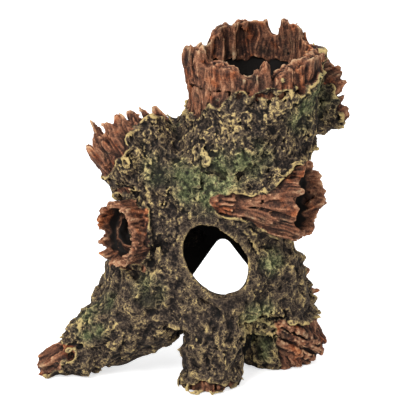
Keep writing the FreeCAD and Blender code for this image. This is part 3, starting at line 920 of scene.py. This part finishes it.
def resin_paint(name):
    """Painted resin: dark wash and painted shade in the hollows, dry-brushed ridges, moss, red torn wood,
    black inside, and painted shade where a place sees little of the outside.
    """
    material = bpy.data.materials.new(name)
    n = Nodes(material)
    ridge, swell = n.fact("ridge"), n.fact("swell")
    grain, speck, patch = n.noise(1.0, 2), n.noise(2.4, 2), n.noise(16, 3)
    lines = n.math("MAXIMUM", n.cracks(3.8, 0.10), n.math("MULTIPLY", n.cracks(2.1, 0.12), 0.7))
    lines = n.math("MULTIPLY", lines, n.range(n.noise(9, 2), 0.32, 0.62))
    relief = n.sum(
        (ridge, 0.85), (n.fact("net"), 0.10), (n.fact("fine"), 0.05), (n.math("SUBTRACT", grain, 0.5), 0.95),
        (n.math("SUBTRACT", speck, 0.5), 0.5), (lines, 0.44), -0.13,
    )
    # the tone is lighter on dry-brushed ridges and darker in hollows, partly dark wash and partly painted
    # shade
    tone = n.sum(
        0.36, (relief, 1.05), (swell, 0.20), (n.fact("raised"), 0.05), (n.math("SUBTRACT", patch, 0.5), 0.25),
        (n.math("SUBTRACT", n.fact("crust"), 0.6), -0.10),
    )
    bark = n.ramp(
        tone, (0.0, (0.005, 0.004, 0.0035)), (0.28, (0.026, 0.018, 0.014)), (0.52, (0.088, 0.062, 0.041)),
        (0.76, (0.205, 0.146, 0.074)), (1.0, (0.480, 0.355, 0.150)),
    )
    green = n.ramp(
        tone, (0.0, (0.018, 0.020, 0.010)), (0.3, (0.052, 0.064, 0.027)), (0.6, (0.142, 0.153, 0.066)),
        (1.0, (0.340, 0.350, 0.160)),
    )
    moss = n.math("MULTIPLY", n.fact("moss"), n.range(speck, 0.25, 0.52))
    bark = n.mix(n.math("MULTIPLY", moss, 0.85), bark, green)
    # the torn wood is likewise darker in its hollows, partly as painted shade
    streak = n.sum(
        0.34, (ridge, 0.8), (swell, 0.10), (n.fact("groove"), 0.22), (n.math("SUBTRACT", grain, 0.5), 0.8),
        (n.math("SUBTRACT", speck, 0.5), 0.3), (n.math("SUBTRACT", patch, 0.5), 0.35),
    )
    timber = n.ramp(
        streak, (0.0, (0.010, 0.005, 0.004)), (0.3, (0.052, 0.023, 0.015)), (0.58, (0.180, 0.075, 0.041)),
        (0.82, (0.340, 0.165, 0.090)), (1.0, (0.470, 0.290, 0.165)),
    )
    shade = n.noise(11, 3)
    timber = n.mix(n.range(shade, 0.50, 0.68), timber, n.mix(1.0, timber, (1.05, 0.72, 0.52), "MULTIPLY"))
    timber = n.mix(n.range(shade, 0.46, 0.32), timber, n.mix(1.0, timber, (0.70, 0.85, 0.90), "MULTIPLY"))
    colour = n.mix(n.range(n.fact("wood"), 0.3, 0.7), bark, timber)
    rim = n.math("MULTIPLY", n.fact("edge"), n.range(n.sum((ridge, 0.6), grain, (lines, 0.2)), 0.45, 0.75))
    colour = n.mix(n.math("MULTIPLY", rim, 0.55), colour, (0.38, 0.28, 0.11))
    # near-black on the inside of the shell, and painted shade: near-black also where a place sees little of
    # the outside
    colour = n.mix(n.fact("black_inside_and_shade"), colour, n.mix(patch, (0.003, 0.0025, 0.002), (0.009, 0.0065, 0.0055)))

    shader = n.tree.nodes.new("ShaderNodeBsdfPrincipled")
    output = n.tree.nodes.new("ShaderNodeOutputMaterial")
    n.link(colour, shader.inputs["Base Color"])
    n.link(n.sum(0.58, (speck, 0.3)), shader.inputs["Roughness"])
    shader.inputs["Specular IOR Level"].default_value = 0.14
    bump = n.tree.nodes.new("ShaderNodeBump")
    bump.inputs["Distance"].default_value = 0.45 * MM
    n.link(n.math("SUBTRACT", 0.75, n.math("MULTIPLY", n.fact("black_inside_and_shade"), 0.55)), bump.inputs["Strength"])
    n.link(n.sum((grain, 0.8), (n.noise(0.55, 1), 0.4), (lines, 0.35)), bump.inputs["Height"])
    n.link(bump.outputs["Normal"], shader.inputs["Normal"])
    n.link(shader.outputs["BSDF"], output.inputs["Surface"])
    return material


slots = {s["node"]: s["material_slot"] for s in frame["record"]["subparts"]}
paints = {name: resin_paint(name) for name in sorted(set(slots.values()))}
for name, piece in pieces.items():
    piece.data.materials.append(paints[slots[name]])
    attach(piece, "root")
    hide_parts(name)


# ---------------------------------------------------------------- studio
def plain(name, colour, roughness):
    """A material of one colour, for the studio floor."""
    material = bpy.data.materials.new(name)
    material.use_nodes = True
    shader = material.node_tree.nodes["Principled BSDF"]
    shader.inputs["Base Color"].default_value = colour + (1.0,)
    shader.inputs["Roughness"].default_value = roughness
    return material


def glow(material, strength):
    """Lifts a pale material towards white, to the camera only."""
    tree = material.node_tree
    shader = tree.nodes["Principled BSDF"]
    path = tree.nodes.new("ShaderNodeLightPath")
    lift = tree.nodes.new("ShaderNodeMath")
    lift.operation = "MULTIPLY"
    lift.inputs[1].default_value = strength
    tree.links.new(path.outputs["Is Camera Ray"], lift.inputs[0])
    tree.links.new(lift.outputs[0], shader.inputs["Emission Strength"])
    shader.inputs["Emission Color"].default_value = (1, 1, 1, 1)


bpy.ops.mesh.primitive_plane_add(size=12.0, location=(0, 0, -0.0006))
floor = bpy.context.object
floor.name = "studio_floor"
floor.data.materials.append(plain("studio_floor", (0.9, 0.9, 0.9), 0.9))
glow(floor.data.materials[0], 0.62)

world = bpy.data.worlds.new("studio")
bpy.context.scene.world = world
world.use_nodes = True
tree = world.node_tree
tree.nodes.clear()
path = tree.nodes.new("ShaderNodeLightPath")
backdrop = tree.nodes.new("ShaderNodeBackground")
backdrop.inputs["Strength"].default_value = 1.05
ambient = tree.nodes.new("ShaderNodeBackground")
ambient.inputs["Strength"].default_value = 0.5
choose = tree.nodes.new("ShaderNodeMixShader")
out = tree.nodes.new("ShaderNodeOutputWorld")
tree.links.new(path.outputs["Is Camera Ray"], choose.inputs[0])
tree.links.new(ambient.outputs[0], choose.inputs[1])
tree.links.new(backdrop.outputs[0], choose.inputs[2])
tree.links.new(choose.outputs[0], out.inputs["Surface"])
for node in (backdrop, ambient):
    node.inputs["Color"].default_value = (1, 1, 1, 1)

aim = Vector((5.1, -4.4, 121.5)) * MM  # what the lamps and the camera point at


def softbox(name, azimuth, elevation, distance, size, power):
    """A square light that faces the ornament. Azimuth 0 is in front and positive is to the right."""
    a, e = math.radians(azimuth), math.radians(elevation)
    away = Vector((math.sin(a) * math.cos(e), -math.cos(a) * math.cos(e), math.sin(e)))
    data = bpy.data.lights.new(name, "AREA")
    data.size = size
    data.energy = power
    lamp = bpy.data.objects.new(name, data)
    lamp.location = aim + away * distance
    lamp.rotation_euler = (-away).to_track_quat("-Z", "Y").to_euler()
    bpy.context.scene.collection.objects.link(lamp)


softbox("key", -38, 42, 1.1, 0.6, 12.5)
softbox("fill", 38, 22, 1.2, 0.8, 3.5)
softbox("rear", 170, 30, 1.3, 0.9, 5)

DISTANCE = 1.0  # from the camera to that point, in metres
TILT = math.radians(17)  # how far the camera looks down
back = Vector((0, -math.cos(TILT), math.sin(TILT)))
camera_data = bpy.data.cameras.new("camera")
camera_data.sensor_width = 36.0
camera_data.lens = 130.8
camera = bpy.data.objects.new("camera", camera_data)
camera.location = aim + back * DISTANCE
camera.rotation_euler = (-back).to_track_quat("-Z", "Y").to_euler()
bpy.context.scene.collection.objects.link(camera)
bpy.context.scene.camera = camera
bpy.context.scene.view_settings.view_transform = "Standard"
